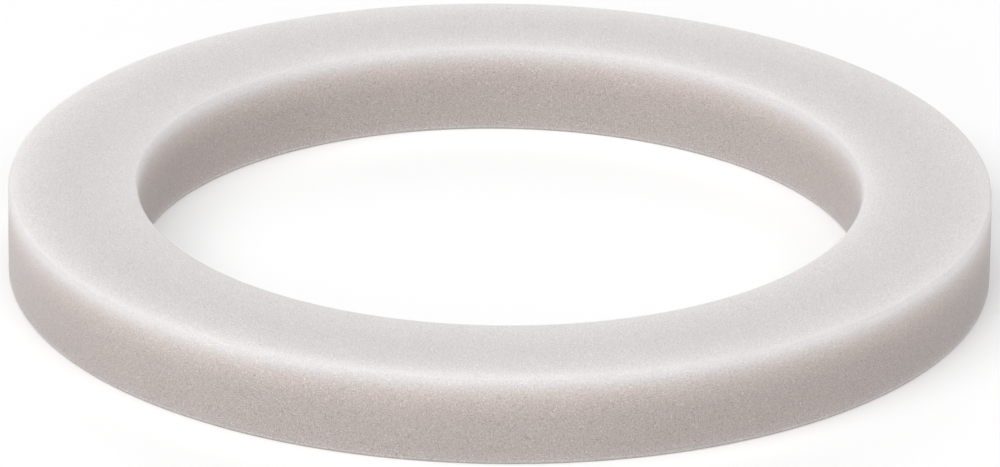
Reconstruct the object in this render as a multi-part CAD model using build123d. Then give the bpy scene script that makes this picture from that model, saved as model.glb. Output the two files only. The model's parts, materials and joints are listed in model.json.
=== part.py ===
"""Flat silicone gasket for a 2 inch hose coupling.

One moulded ring of plain rectangular section: two flat sealing faces, a straight outer wall
that seats in the coupling's recess, a straight bore for the flow, and four softened corners.
Its frame has the origin on the ring's axis, at the lower sealing face, with +Z up.
All sizes are in millimetres.
"""

import os

from build123d import *

BORE_DIAMETER = 50.8  # the flow passage, 2 inches
FACE_WIDTH = 9.05  # of each sealing face, from the bore's wall to the outer wall
THICKNESS = 6.35  # from sealing face to sealing face, 1/4 inch
CORNER_RADIUS = 0.2  # softening that the mould leaves on all four corners of the section


def ring_section():
    """The section of the ring, in the XZ plane on the +X side of the axis."""
    bore_radius = BORE_DIAMETER / 2
    with BuildSketch(Plane.XZ) as section:
        with Locations((bore_radius + FACE_WIDTH / 2, THICKNESS / 2)):
            Rectangle(FACE_WIDTH, THICKNESS)
        fillet(section.vertices(), CORNER_RADIUS)
    return section.sketch


def gasket_ring():
    """The section turned once round the Z axis."""
    with BuildPart() as ring:
        add(ring_section())
        revolve(axis=Axis.Z, revolution_arc=360)
    return ring.part


os.makedirs("parts", exist_ok=True)
export_step(gasket_ring(), "parts/gasket_ring.step")
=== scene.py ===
"""Looks of the silicone gasket: the moulded ring, its translucent silicone, the studio and the camera.

The file is laid out as a Blender add-on and is run as a script. Lengths are in metres, in the frame
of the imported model: the ring's axis is Z, and its lower face lies on the floor at height 0.
"""

import json
import math

import bpy
import numpy as np
from bpy.props import FloatProperty, FloatVectorProperty, IntProperty, PointerProperty
from bpy.types import Operator, Panel, PropertyGroup
from mathutils import Matrix, Vector


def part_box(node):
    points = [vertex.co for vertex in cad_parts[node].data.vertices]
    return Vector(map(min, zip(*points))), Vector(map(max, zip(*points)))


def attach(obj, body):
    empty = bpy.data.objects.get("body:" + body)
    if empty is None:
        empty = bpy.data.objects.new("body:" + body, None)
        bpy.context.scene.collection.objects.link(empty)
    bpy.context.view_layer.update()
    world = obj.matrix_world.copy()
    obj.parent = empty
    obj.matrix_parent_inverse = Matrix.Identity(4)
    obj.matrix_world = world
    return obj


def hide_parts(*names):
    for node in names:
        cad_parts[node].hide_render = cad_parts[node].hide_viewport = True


bl_info = {
    "name": "Silicone gasket",
    "version": (1, 0, 0),
    "blender": (4, 5, 0),
    "location": "3D View > Sidebar > Gasket",
    "description": "Moulds a flat silicone gasket and sets it on a pale studio floor",
    "category": "Object",
}

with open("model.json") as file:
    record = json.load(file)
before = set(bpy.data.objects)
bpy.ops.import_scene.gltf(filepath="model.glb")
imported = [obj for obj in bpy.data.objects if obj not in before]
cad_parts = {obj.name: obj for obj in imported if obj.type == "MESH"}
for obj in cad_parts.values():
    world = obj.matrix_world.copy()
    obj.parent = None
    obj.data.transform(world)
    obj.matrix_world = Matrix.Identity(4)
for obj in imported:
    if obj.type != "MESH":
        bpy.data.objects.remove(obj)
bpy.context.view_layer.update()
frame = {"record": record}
NODE = "gasket_ring"
BODY = "root"
MOUNTS = {mount["name"]: mount for mount in frame["record"]["mounts"]}
MM = 0.001

RING_LOW, RING_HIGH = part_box(NODE)
OUTER_RADIUS = MOUNTS["outer_wall"]["dims"]["r_mm"] * MM
BORE_RADIUS = MOUNTS["bore"]["dims"]["r_mm"] * MM
THICKNESS = RING_HIGH.z - RING_LOW.z
CORNER_RADIUS = (THICKNESS - MOUNTS["bore"]["dims"]["length_mm"] * MM) / 2

# Steps of the section's outline: in each corner, and along the outer wall, the upper face, the
# bore's wall and the lower face.
CORNER_STEPS = 6
SIDE_STEPS = (12, 16, 12, 16)

# Sockets of the Mix node when it mixes colours.
MIX_SHARE = 0
MIX_FIRST = 6
MIX_SECOND = 7
MIX_RESULT = 2

# The inside of the silicone. Light of each colour travels equally far in it.
SILICONE_IOR = 1.41
FORWARD_SCATTER = 0.7
REACH_OF_COLOURS = (1.0, 1.0, 1.0)

# Patterns of the silicone. The grain grows to its full strength over its reach, which runs into a
# face or down a wall from the edge.
NOISE_ROUGHNESS = 0.55
FACE_BLEND = 0.5 * MM
CLOUD_SIZE = 9.0 * MM
CLOUD_DETAIL = 2.0
CLOUD_DEPTH = 0.03
GRAIN_FACE_REACH = 1.0 * MM
GRAIN_WALL_REACH = 1.8 * MM
WARM_GRAIN = (1.03, 1.0, 0.97, 1.0)
COOL_GRAIN = (0.97, 1.0, 1.03, 1.0)
BUMP_SIZE = 0.12 * MM
BUMP_DETAIL = 1.0
BUMP_HEIGHT = 0.01 * MM
BUMP_STRENGTH = 0.15
POLISH_SIZE = 1.2 * MM
POLISH_DETAIL = 2.0
ROUGHNESS_DEPTH = 0.06
SPECK_SPACING = 3.5 * MM
SPECK_RADIUS = 0.09 * MM
SPECK_SHARE = 0.25
SPECK_COLOUR = (0.36, 0.33, 0.3, 1.0)

# Painted light and shade: tones that the silicone's colour is multiplied with. The upper edges are
# painted paler, a painted glow. Light that comes out low on a wall has come further, so the walls are
# painted darker and browner downwards, a painted shade. The pale lower rim is painted floor light, and
# the faces are painted darker towards their middles.
PAINTED_GLOW_AT_EDGE = (1.0, 1.0, 1.0)
PAINTED_GLOW_LINE = (1.05, 1.07, 1.06)
PAINTED_GLOW_BAND = (1.01, 1.01, 0.99)
PAINTED_WARM_SHADE_START = (0.99, 0.95, 0.91)
PAINTED_WARM_SHADE_BAND = (0.93, 0.89, 0.84)
PAINTED_SHADE_HIGH_ON_WALL = (0.87, 0.83, 0.8)
PAINTED_SHADE_LOW_ON_WALL = (0.86, 0.82, 0.78)
PAINTED_SHADE_AT_WALL_FOOT = (0.88, 0.83, 0.79)
PAINTED_FLOOR_LIGHT_START = (1.0, 0.92, 0.87)
PAINTED_FLOOR_LIGHT_RIM = (1.65, 1.53, 1.45)
PAINTED_SHADE_FACE_SHOULDER = (0.965, 0.97, 0.955)
PAINTED_SHADE_FACE_MIDDLE = (0.94, 0.945, 0.935)

# The painted light and shade by the way down a wall from the upper face, as a share of the thickness.
PAINTED_LIGHT_AND_SHADE_DOWN_WALL = (
    (0.0, PAINTED_GLOW_AT_EDGE),
    (0.06, PAINTED_GLOW_LINE),
    (0.13, PAINTED_GLOW_BAND),
    (0.2, PAINTED_WARM_SHADE_START),
    (0.32, PAINTED_WARM_SHADE_BAND),
    (0.47, PAINTED_SHADE_HIGH_ON_WALL),
    (0.7, PAINTED_SHADE_LOW_ON_WALL),
    (0.85, PAINTED_SHADE_AT_WALL_FOOT),
    (0.945, PAINTED_FLOOR_LIGHT_START),
    (0.985, PAINTED_FLOOR_LIGHT_RIM),
)

# The painted edge glow and face shade by the way into a face from the nearer edge, as a share of half
# the face's width.
PAINTED_LIGHT_AND_SHADE_INTO_FACE = (
    (0.06, PAINTED_GLOW_AT_EDGE),
    (0.5, PAINTED_SHADE_FACE_SHOULDER),
    (1.0, PAINTED_SHADE_FACE_MIDDLE),
)

# The studio. A lamp has a name, an azimuth and an elevation in degrees, a width and a height, and
# its watts.
LAMP_DISTANCE = 2.6
LAMPS = (
    ("overhead_softbox", 0.0, 90.0, (1.2, 1.2), 24.0),
    ("left_softbox", 225.0, 48.0, (2.0, 1.4), 39.0),
    ("back_softbox", 90.0, 30.0, (1.8, 1.0), 14.0),
    ("front_softbox", 262.0, 25.0, (1.8, 1.0), 16.0),
    ("right_softbox", 305.0, 40.0, (1.6, 1.0), 11.0),
)
WHITE = (1.0, 1.0, 1.0, 1.0)
FLOOR_SIDE = 12.0
FLOOR_ROUGHNESS = 0.9
ROOM_LIGHT = 0.1
SCREEN_LIGHT = 1.0
SENSOR_WIDTH = 36.0
LOOK_AT = (0.00003, 0.0, 0.0024)
CLIP_START = 0.01
CLIP_END = 20.0


class GasketShape(PropertyGroup):
    """Sizes of the moulded ring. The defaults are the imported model's."""

    outer_radius: FloatProperty(
        name="Outer radius",
        description="From the axis to the outer wall",
        default=OUTER_RADIUS,
        min=0.0,
        subtype="DISTANCE",
        unit="LENGTH",
    )
    bore_radius: FloatProperty(
        name="Bore radius",
        description="From the axis to the bore's wall",
        default=BORE_RADIUS,
        min=0.0,
        subtype="DISTANCE",
        unit="LENGTH",
    )
    thickness: FloatProperty(
        name="Thickness",
        description="From sealing face to sealing face",
        default=THICKNESS,
        min=0.0,
        subtype="DISTANCE",
        unit="LENGTH",
    )
    corner_radius: FloatProperty(
        name="Corner radius",
        description="Softening that the mould leaves on the four corners of the section",
        default=CORNER_RADIUS,
        min=0.0,
        subtype="DISTANCE",
        unit="LENGTH",
    )
    turns: IntProperty(
        name="Steps round the ring",
        description="How many slices the ring's surface has round its axis",
        default=720,
        min=12,
    )


class SiliconeFinish(PropertyGroup):
    """Colours and surface of the translucent silicone."""

    colour: FloatVectorProperty(
        name="Colour",
        description="Colour of the silicone at an upper edge",
        default=(0.543, 0.512, 0.515),
        size=3,
        min=0.0,
        max=1.0,
        subtype="COLOR",
    )
    light_reach: FloatProperty(
        name="Light reach",
        description="Scale of the distance that light travels inside the silicone",
        default=10.0 * MM,
        min=0.0,
        subtype="DISTANCE",
        unit="LENGTH",
    )
    roughness: FloatProperty(
        name="Roughness",
        description="Middle roughness of the fine matte surface that the mould leaves",
        default=0.5,
        min=0.0,
        max=1.0,
        subtype="FACTOR",
    )
    grain_size: FloatProperty(
        name="Grain size",
        description="Width of the cells of the fine grain",
        default=0.09 * MM,
        min=0.0,
        subtype="DISTANCE",
        unit="LENGTH",
    )
    edge_grain: FloatProperty(
        name="Grain of the edges",
        description="How much paler or darker a grain can be at the edges",
        default=0.2,
        min=0.0,
        max=1.0,
        subtype="FACTOR",
    )
    face_grain: FloatProperty(
        name="Grain of the faces",
        description="How much paler or darker a grain can be on the two faces",
        default=0.4,
        min=0.0,
        max=1.0,
        subtype="FACTOR",
    )
    wall_grain: FloatProperty(
        name="Grain of the walls",
        description="How much paler or darker a grain can be low on the walls",
        default=0.45,
        min=0.0,
        max=1.0,
        subtype="FACTOR",
    )


class StudioSettings(PropertyGroup):
    """The pale floor, the soft lights and the camera."""

    floor_colour: FloatVectorProperty(
        name="Floor colour",
        description="Colour of the plain studio floor",
        default=(0.66, 0.66, 0.66),
        size=3,
        min=0.0,
        max=1.0,
        subtype="COLOR",
    )
    floor_glow: FloatProperty(
        name="Floor glow",
        description="Light that comes up through the floor, which is a translucent shooting table",
        default=0.24,
        min=0.0,
    )
    light: FloatProperty(
        name="Light",
        description="Strength of all the lamps together, as a share of the photograph's",
        default=1.0,
        min=0.0,
        subtype="FACTOR",
    )
    lens: FloatProperty(
        name="Lens",
        description="Focal length of the camera, in millimetres on a 36 mm sensor",
        default=347.15,
        min=1.0,
    )
    camera_distance: FloatProperty(
        name="Camera distance",
        description="From the camera to the point that it looks at",
        default=0.6773,
        min=0.01,
        subtype="DISTANCE",
        unit="LENGTH",
    )
    camera_elevation: FloatProperty(
        name="Camera elevation",
        description="How far above the horizon the camera looks down from",
        default=math.radians(22.692),
        subtype="ANGLE",
        unit="ROTATION",
    )
    camera_roll: FloatProperty(
        name="Camera roll",
        description="How far the camera leans, with its right side raised",
        default=math.radians(0.695),
        subtype="ANGLE",
        unit="ROTATION",
    )


def spaced(start, end, steps):
    """Points between two ends, closer together near each end: the angle runs evenly from 0 to half a
    turn, and the share of the way is half of one minus its cosine. The two ends are left out."""
    angle = np.linspace(0.0, math.pi, steps + 1)[1:-1]
    share = (1.0 - np.cos(angle)) / 2.0
    return start + np.outer(share, end - start)


def quarter(centre, radius, first_angle, steps):
    """A quarter circle: its centre plus the radius times the cosine and sine of an angle that runs
    on from the first angle by a quarter turn."""
    angle = first_angle + np.linspace(0.0, math.pi / 2.0, steps + 1)
    return centre + radius * np.stack([np.cos(angle), np.sin(angle)], axis=1)


def ring_section(shape):
    """The closed outline of the ring's section, as distances from the axis and heights. It is a
    rectangle whose four corners are quarter circles, walked with the silicone on its left."""
    inset = shape.corner_radius
    inner = shape.bore_radius + inset
    outer = shape.outer_radius - inset
    low = inset
    high = shape.thickness - inset
    corners = [
        quarter(np.array(centre), inset, first_angle, CORNER_STEPS)
        for centre, first_angle in (
            ((outer, low), -math.pi / 2.0),
            ((outer, high), 0.0),
            ((inner, high), math.pi / 2.0),
            ((inner, low), math.pi),
        )
    ]
    outline = []
    for corner, following, steps in zip(corners, corners[1:] + corners[:1], SIDE_STEPS):
        outline.append(corner)
        outline.append(spaced(corner[-1], following[0], steps))
    return np.concatenate(outline)


def turned_surface(name, outline, turns):
    """A closed surface of revolution on a grid. Along one side of the grid the angle round Z grows
    evenly through a whole turn, and along the other the outline is walked once. A point is its
    distance from the axis times the cosine and sine of the angle, at its own height. Both ways round
    the grid end where they began, so the surface has no seam."""
    angle = np.arange(turns) * (2.0 * math.pi / turns)
    reach, height = outline[:, 0], outline[:, 1]
    points = np.stack(
        [
            np.outer(np.cos(angle), reach),
            np.outer(np.sin(angle), reach),
            np.broadcast_to(height, (turns, len(outline))),
        ],
        axis=-1,
    ).reshape(-1, 3)
    here = np.arange(turns * len(outline)).reshape(turns, len(outline))
    turned = np.roll(here, -1, axis=0)
    corners = (here, turned, np.roll(turned, -1, axis=1), np.roll(here, -1, axis=1))
    faces = np.stack(corners, axis=-1).reshape(-1, 4)
    mesh = bpy.data.meshes.new(name)
    mesh.from_pydata(points.tolist(), [], faces.tolist())
    mesh.polygons.foreach_set("use_smooth", np.ones(len(faces), dtype=bool))
    mesh.update()
    piece = bpy.data.objects.new(name, mesh)
    bpy.context.scene.collection.objects.link(piece)
    return piece


def add_node(tree, kind, inputs, **settings):
    """One shader node. An input that is given another node's output is linked, and any other is set."""
    node = tree.nodes.new(kind)
    for name, value in settings.items():
        setattr(node, name, value)
    for name, value in inputs.items():
        socket = node.inputs[name]
        if isinstance(value, bpy.types.NodeSocket):
            tree.links.new(value, socket)
        else:
            socket.default_value = value
    return node


def maths(tree, operation, *values):
    """The result of one Math node on sockets or numbers."""
    inputs = dict(enumerate(values))
    return add_node(tree, "ShaderNodeMath", inputs, operation=operation).outputs["Value"]


def noise(tree, place, size, detail):
    """Noise between 0 and 1 whose patches are about as wide as size."""
    inputs = {
        "Vector": place,
        "Scale": 1.0 / size,
        "Detail": detail,
        "Roughness": NOISE_ROUGHNESS,
    }
    return add_node(tree, "ShaderNodeTexNoise", inputs).outputs["Fac"]


def spread(tree, value, low, high):
    """A value from 0 to 1 laid out evenly between two numbers."""
    inputs = {"Value": value, "To Min": low, "To Max": high}
    return add_node(tree, "ShaderNodeMapRange", inputs).outputs["Result"]


def blended(tree, share, first, second, how="MIX"):
    """Two colours mixed by a share of the second."""
    inputs = {MIX_SHARE: share, MIX_FIRST: first, MIX_SECOND: second}
    node = add_node(tree, "ShaderNodeMix", inputs, data_type="RGBA", blend_type=how)
    return node.outputs[MIX_RESULT]


def toned(tree, colour, tone):
    """A colour multiplied with a tone."""
    return blended(tree, 1.0, colour, tone, "MULTIPLY")


def colour_ramp(tree, share, stops):
    """A colour that turns evenly from stop to stop. A stop is a share and its colour. A new stop
    starts anywhere and is then moved to its place."""
    node = add_node(tree, "ShaderNodeValToRGB", {"Fac": share})
    elements = node.color_ramp.elements
    anywhere = 0.5
    while len(elements) < len(stops):
        elements.new(anywhere)
    for element, (position, colour) in zip(elements, stops):
        element.position = position
        element.color = (*colour, 1.0)
    return node.outputs["Color"]


def depths(tree, place, shape):
    """How far a point lies from the nearer wall, and how far down a wall it lies from the upper face.
    The latter is nil on the lower face too, so that both faces have the same colours."""
    without_height = (1.0, 1.0, 0.0)
    flat = add_node(
        tree, "ShaderNodeVectorMath", {0: place, 1: without_height}, operation="MULTIPLY"
    )
    radius = add_node(
        tree, "ShaderNodeVectorMath", {0: flat.outputs["Vector"]}, operation="LENGTH"
    ).outputs["Value"]
    height = add_node(tree, "ShaderNodeSeparateXYZ", {"Vector": place}).outputs["Z"]
    from_wall = maths(
        tree,
        "MINIMUM",
        maths(tree, "SUBTRACT", shape.outer_radius, radius),
        maths(tree, "SUBTRACT", radius, shape.bore_radius),
    )
    on_wall = spread(tree, maths(tree, "DIVIDE", from_wall, FACE_BLEND), 1.0, 0.0)
    from_upper = maths(tree, "SUBTRACT", shape.thickness, height)
    return from_wall, maths(tree, "MULTIPLY", from_upper, on_wall)


def colour_with_painted_light_and_shade(tree, from_wall, down_wall, shape, finish):
    """The silicone's colour times painted light and shade: a tone by the way down a wall and a tone by
    the way into a face.
    """
    half_width = (shape.outer_radius - shape.bore_radius) / 2.0
    down_share = maths(tree, "DIVIDE", down_wall, shape.thickness)
    in_share = maths(tree, "DIVIDE", from_wall, half_width)
    colour = (*finish.colour, 1.0)
    for share, tones in ((down_share, PAINTED_LIGHT_AND_SHADE_DOWN_WALL), (in_share, PAINTED_LIGHT_AND_SHADE_INTO_FACE)):
        colour = toned(tree, colour, colour_ramp(tree, share, tones))
    return colour


def grain_cells(tree, place, finish, feature):
    """Small cells with random colours: of the nearest cell for F1, of the next nearest for F2."""
    inputs = {"Vector": place, "Scale": 1.0 / finish.grain_size}
    return add_node(tree, "ShaderNodeTexVoronoi", inputs, feature=feature)


def grain_tone(tree, place, from_wall, down_wall, finish):
    """Tone of the fine grain, which is faint at the edges and strongest low on the walls. Small cells
    have random values. A place's tone is its own cell's value less that of the next nearest cell, so
    pale and dark grains lie side by side and make no broad patches. Its warmth is its own cell's."""
    own, neighbour = (
        add_node(
            tree,
            "ShaderNodeSeparateColor",
            {"Color": grain_cells(tree, place, finish, feature).outputs["Color"]},
        ).outputs
        for feature in ("F1", "F2")
    )
    into_face = spread(
        tree,
        maths(tree, "DIVIDE", from_wall, GRAIN_FACE_REACH),
        finish.edge_grain,
        finish.face_grain,
    )
    into_wall = spread(
        tree,
        maths(tree, "DIVIDE", down_wall, GRAIN_WALL_REACH),
        0.0,
        finish.wall_grain - finish.edge_grain,
    )
    depth = maths(tree, "ADD", into_face, into_wall)
    contrast = maths(tree, "SUBTRACT", own["Red"], neighbour["Red"])
    tone = maths(tree, "MULTIPLY_ADD", contrast, depth, 1.0)
    warmth = blended(tree, own["Green"], WARM_GRAIN, COOL_GRAIN)
    return toned(tree, warmth, tone)


def specks(tree, place):
    """1 inside the few tiny inclusions, which are small discs in some cells of a coarse pattern."""
    cells = add_node(tree, "ShaderNodeTexVoronoi", {"Vector": place, "Scale": 1.0 / SPECK_SPACING})
    near = maths(tree, "LESS_THAN", cells.outputs["Distance"], SPECK_RADIUS / SPECK_SPACING)
    chosen = add_node(tree, "ShaderNodeSeparateColor", {"Color": cells.outputs["Color"]})
    kept = maths(tree, "LESS_THAN", chosen.outputs["Red"], SPECK_SHARE)
    return maths(tree, "MULTIPLY", near, kept)


def translucent_silicone(shape, finish):
    """Milky silicone: light goes in, wanders and comes out again. The colour has soft clouds from
    mixing, the fine grain of a matte mould, a few tiny inclusions, and painted light and shade: paler
    edges, walls painted darker and browner downwards and a pale lower rim."""
    material = bpy.data.materials.new("translucent_silicone")
    material.use_nodes = True
    tree = material.node_tree
    shader = tree.nodes["Principled BSDF"]
    place = add_node(tree, "ShaderNodeTexCoord", {}).outputs["Object"]

    from_wall, down_wall = depths(tree, place, shape)
    # The silicone's colour with painted light and shade: glow at the edges, shade down the walls and a
    # pale lower rim.
    colour = colour_with_painted_light_and_shade(tree, from_wall, down_wall, shape, finish)
    clouds = noise(tree, place, CLOUD_SIZE, CLOUD_DETAIL)
    for tone in (
        spread(tree, clouds, 1.0 - CLOUD_DEPTH, 1.0 + CLOUD_DEPTH),
        grain_tone(tree, place, from_wall, down_wall, finish),
    ):
        colour = toned(tree, colour, tone)
    colour = blended(tree, specks(tree, place), colour, SPECK_COLOUR)
    tree.links.new(colour, shader.inputs["Base Color"])

    polish = noise(tree, place, POLISH_SIZE, POLISH_DETAIL)
    gloss = spread(
        tree, polish, finish.roughness - ROUGHNESS_DEPTH, finish.roughness + ROUGHNESS_DEPTH
    )
    tree.links.new(gloss, shader.inputs["Roughness"])
    bump = add_node(
        tree,
        "ShaderNodeBump",
        {
            "Height": noise(tree, place, BUMP_SIZE, BUMP_DETAIL),
            "Strength": BUMP_STRENGTH,
            "Distance": BUMP_HEIGHT,
        },
    )
    tree.links.new(bump.outputs["Normal"], shader.inputs["Normal"])

    shader.inputs["IOR"].default_value = SILICONE_IOR
    shader.inputs["Subsurface Weight"].default_value = 1.0
    shader.inputs["Subsurface Radius"].default_value = REACH_OF_COLOURS
    shader.inputs["Subsurface Scale"].default_value = finish.light_reach
    shader.inputs["Subsurface Anisotropy"].default_value = FORWARD_SCATTER
    return material


def table_top(studio):
    """The plain matte floor, with a little light from below."""
    material = bpy.data.materials.new("pale_floor")
    material.use_nodes = True
    shader = material.node_tree.nodes["Principled BSDF"]
    shader.inputs["Base Color"].default_value = (*studio.floor_colour, 1.0)
    shader.inputs["Roughness"].default_value = FLOOR_ROUGHNESS
    shader.inputs["Emission Color"].default_value = WHITE
    shader.inputs["Emission Strength"].default_value = studio.floor_glow
    return material


def heading(azimuth, elevation):
    """The direction from the ring to a place round it. Azimuth 0 lies along X and 90 along Y, and
    elevation is the angle above the floor, both in degrees."""
    around = math.radians(azimuth)
    above = math.radians(elevation)
    level = math.cos(above)
    return Vector((math.cos(around) * level, math.sin(around) * level, math.sin(above)))


def softbox(name, azimuth, elevation, size, watts):
    """A rectangle of even light that faces the ring from LAMP_DISTANCE away."""
    light = bpy.data.lights.new(name, "AREA")
    light.shape = "RECTANGLE"
    light.size, light.size_y = size
    light.energy = watts
    lamp = bpy.data.objects.new(name, light)
    away = heading(azimuth, elevation)
    lamp.location = away * LAMP_DISTANCE
    lamp.rotation_mode = "QUATERNION"
    lamp.rotation_quaternion = away.to_track_quat("Z", "Y")
    lamp.visible_camera = False
    bpy.context.scene.collection.objects.link(lamp)


def floor(studio):
    """The plain pale floor: one flat square at the height of the ring's lower face."""
    half_side = FLOOR_SIDE / 2.0
    corners = np.array([(-1, -1, 0), (1, -1, 0), (1, 1, 0), (-1, 1, 0)]) * half_side
    mesh = bpy.data.meshes.new("studio_floor")
    mesh.from_pydata(corners.tolist(), [], [(0, 1, 2, 3)])
    mesh.materials.append(table_top(studio))
    ground = bpy.data.objects.new("studio_floor", mesh)
    bpy.context.scene.collection.objects.link(ground)


def surroundings():
    """The room: white to the camera and in reflections, as the pale screens round a shooting table
    are, and dim in the light that it gives."""
    world = bpy.data.worlds.new("studio_room")
    bpy.context.scene.world = world
    world.use_nodes = True
    tree = world.node_tree
    path = add_node(tree, "ShaderNodeLightPath", {}).outputs
    seen = maths(tree, "MAXIMUM", path["Is Camera Ray"], path["Is Glossy Ray"])
    strength = spread(tree, seen, ROOM_LIGHT, SCREEN_LIGHT)
    background = tree.nodes["Background"]
    background.inputs["Color"].default_value = WHITE
    tree.links.new(strength, background.inputs["Strength"])


def camera(studio):
    """The camera at the photograph's angle. It looks at LOOK_AT from the given elevation, along Y,
    and its sideways and upward directions are turned about that line by the roll."""
    above = studio.camera_elevation
    back = Vector((0.0, -math.cos(above), math.sin(above)))
    level = Vector((1.0, 0.0, 0.0))
    upright = back.cross(level)
    roll = studio.camera_roll
    sideways = level * math.cos(roll) + upright * math.sin(roll)
    upward = upright * math.cos(roll) - level * math.sin(roll)
    lens = bpy.data.cameras.new("photo_camera")
    lens.sensor_width = SENSOR_WIDTH
    lens.lens = studio.lens
    lens.clip_start = CLIP_START
    lens.clip_end = CLIP_END
    eye = bpy.data.objects.new("photo_camera", lens)
    turn = Matrix((sideways, upward, back)).transposed().to_4x4()
    turn.translation = Vector(LOOK_AT) + back * studio.camera_distance
    eye.matrix_world = turn
    bpy.context.scene.collection.objects.link(eye)
    bpy.context.scene.camera = eye


class GASKET_OT_mould_ring(Operator):
    """Mould the ring in translucent silicone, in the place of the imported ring"""

    bl_idname = "gasket.mould_ring"
    bl_label = "Mould the ring"

    def execute(self, context):
        shape = context.scene.gasket_shape
        if shape.bore_radius >= shape.outer_radius:
            raise ValueError("the bore has to be smaller than the ring")
        ring = turned_surface("moulded_ring", ring_section(shape), shape.turns)
        ring.data.materials.append(translucent_silicone(shape, context.scene.silicone_finish))
        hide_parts(NODE)
        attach(ring, BODY)
        return {"FINISHED"}


class GASKET_OT_set_stage(Operator):
    """Lay the pale floor, hang the soft lights and set the camera"""

    bl_idname = "gasket.set_stage"
    bl_label = "Set the stage"

    def execute(self, context):
        studio = context.scene.gasket_studio
        floor(studio)
        for name, azimuth, elevation, size, watts in LAMPS:
            softbox(name, azimuth, elevation, size, studio.light * watts)
        surroundings()
        camera(studio)
        context.scene.view_settings.view_transform = "Standard"
        return {"FINISHED"}


class GASKET_PT_sidebar(Panel):
    """Sizes, finish and studio of the gasket"""

    bl_label = "Silicone gasket"
    bl_idname = "GASKET_PT_sidebar"
    bl_space_type = "VIEW_3D"
    bl_region_type = "UI"
    bl_category = "Gasket"

    def draw(self, context):
        scene = context.scene
        for settings in (scene.gasket_shape, scene.silicone_finish, scene.gasket_studio):
            box = self.layout.box()
            for name in settings.__annotations__:
                box.prop(settings, name)
        self.layout.operator(GASKET_OT_mould_ring.bl_idname)
        self.layout.operator(GASKET_OT_set_stage.bl_idname)


CLASSES = (
    GasketShape,
    SiliconeFinish,
    StudioSettings,
    GASKET_OT_mould_ring,
    GASKET_OT_set_stage,
    GASKET_PT_sidebar,
)


def register():
    for each in CLASSES:
        bpy.utils.register_class(each)
    bpy.types.Scene.gasket_shape = PointerProperty(type=GasketShape)
    bpy.types.Scene.silicone_finish = PointerProperty(type=SiliconeFinish)
    bpy.types.Scene.gasket_studio = PointerProperty(type=StudioSettings)


def unregister():
    del bpy.types.Scene.gasket_studio
    del bpy.types.Scene.silicone_finish
    del bpy.types.Scene.gasket_shape
    for each in reversed(CLASSES):
        bpy.utils.unregister_class(each)


def main():
    register()
    bpy.ops.gasket.mould_ring()
    bpy.ops.gasket.set_stage()


if __name__ == "__main__":
    main()
